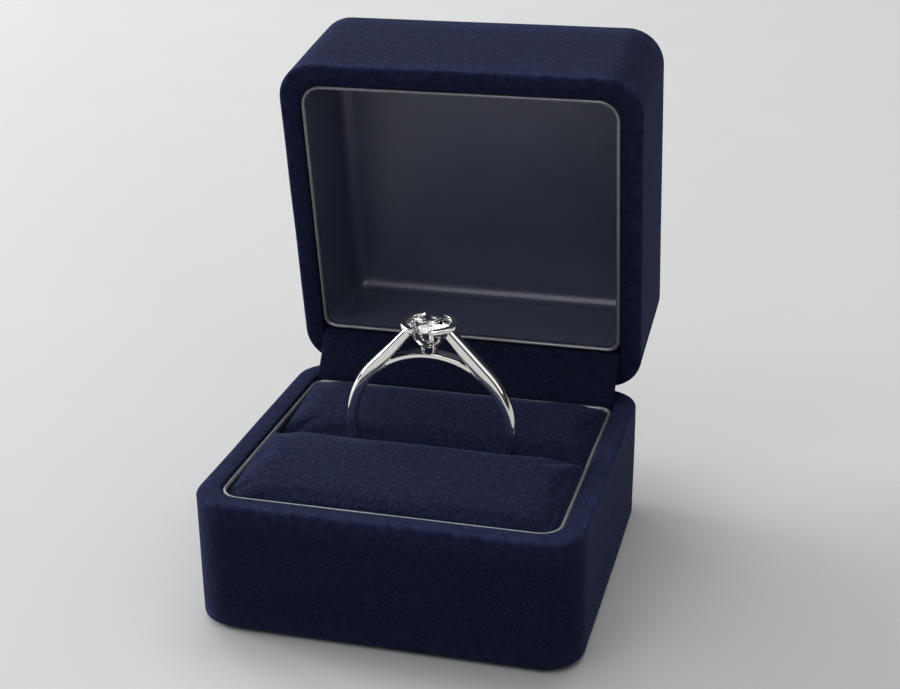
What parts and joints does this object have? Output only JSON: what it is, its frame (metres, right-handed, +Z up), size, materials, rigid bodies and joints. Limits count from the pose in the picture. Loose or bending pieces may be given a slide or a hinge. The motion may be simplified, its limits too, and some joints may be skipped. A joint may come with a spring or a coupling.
{
  "type": "ring box",
  "caption": "Small square suede-covered ring box with a snap-hinged lid, satin lining, padded slot and a solitaire ring standing in it.",
  "frame": {"origin": "centre of the flat underside, on the surface the box stands on", "axes": "+Z up, -Y towards the opening front, +Y towards the hinge, +X to the right seen from the front"},
  "size_m": [0.045, 0.0588, 0.0608],
  "materials": {
    "navy_suede": "fine napped suede, matt with a pale sheen at the edges",
    "navy_suede_pads": "fine napped suede over soft pads",
    "dark_moulded_shell": "moulded, hidden under the suede",
    "dark_tray": "thin moulded tray, matt",
    "grey_navy_satin": "smooth satin lining with a soft sheen",
    "pale_trim": "pale grey bead, satin gloss",
    "grey_foam": "open foam",
    "navy_felt": "felt sheet",
    "hinge_steel": "plain stamped steel",
    "spring_steel": "blued spring steel",
    "polished_white_gold": "mirror polished white metal",
    "clear_stone": "clear faceted stone"
  },
  "bodies": {
    "base": {"base_wrap": "navy_suede", "base_shell": "dark_moulded_shell", "base_foot_pad": "navy_felt", "base_tray": "dark_tray", "base_trim_ring": "pale_trim", "front_pad_cover": "navy_suede_pads", "front_pad_foam": "grey_foam", "rear_pad_cover": "navy_suede_pads", "rear_pad_foam": "grey_foam", "ring_slot_foam": "grey_foam", "hinge_base_leaf": "hinge_steel", "hinge_base_rivet_left": "hinge_steel", "hinge_base_rivet_right": "hinge_steel", "hinge_pin": "hinge_steel", "snap_spring": "spring_steel", "snap_spring_rivet": "hinge_steel", "hinge_flap": "navy_suede"},
    "lid": {"lid_wrap": "navy_suede", "lid_shell": "dark_moulded_shell", "lid_liner": "grey_navy_satin", "lid_trim_ring": "pale_trim", "lid_pad_cover": "grey_navy_satin", "lid_pad_foam": "grey_foam", "hinge_lid_leaf": "hinge_steel", "hinge_lid_rivet_left": "hinge_steel", "hinge_lid_rivet_right": "hinge_steel"},
    "ring": {"ring_band": "polished_white_gold", "ring_bezel": "polished_white_gold", "ring_stone": "clear_stone"}
  },
  "joints": [
    {"name": "lid_hinge", "type": "hinge", "parent": "base", "child": "lid", "pos_m": [0, 0.02085, 0.0166], "axis": [1, 0, 0], "range_deg": [0, 80.4], "deforming": ["hinge_flap", "lid_pad_cover", "lid_pad_foam"]},
    {"name": "ring_lift", "type": "slide", "parent": "base", "child": "ring", "axis": [0, 0, 1], "range_m": [0, 0.045]}
  ]
}
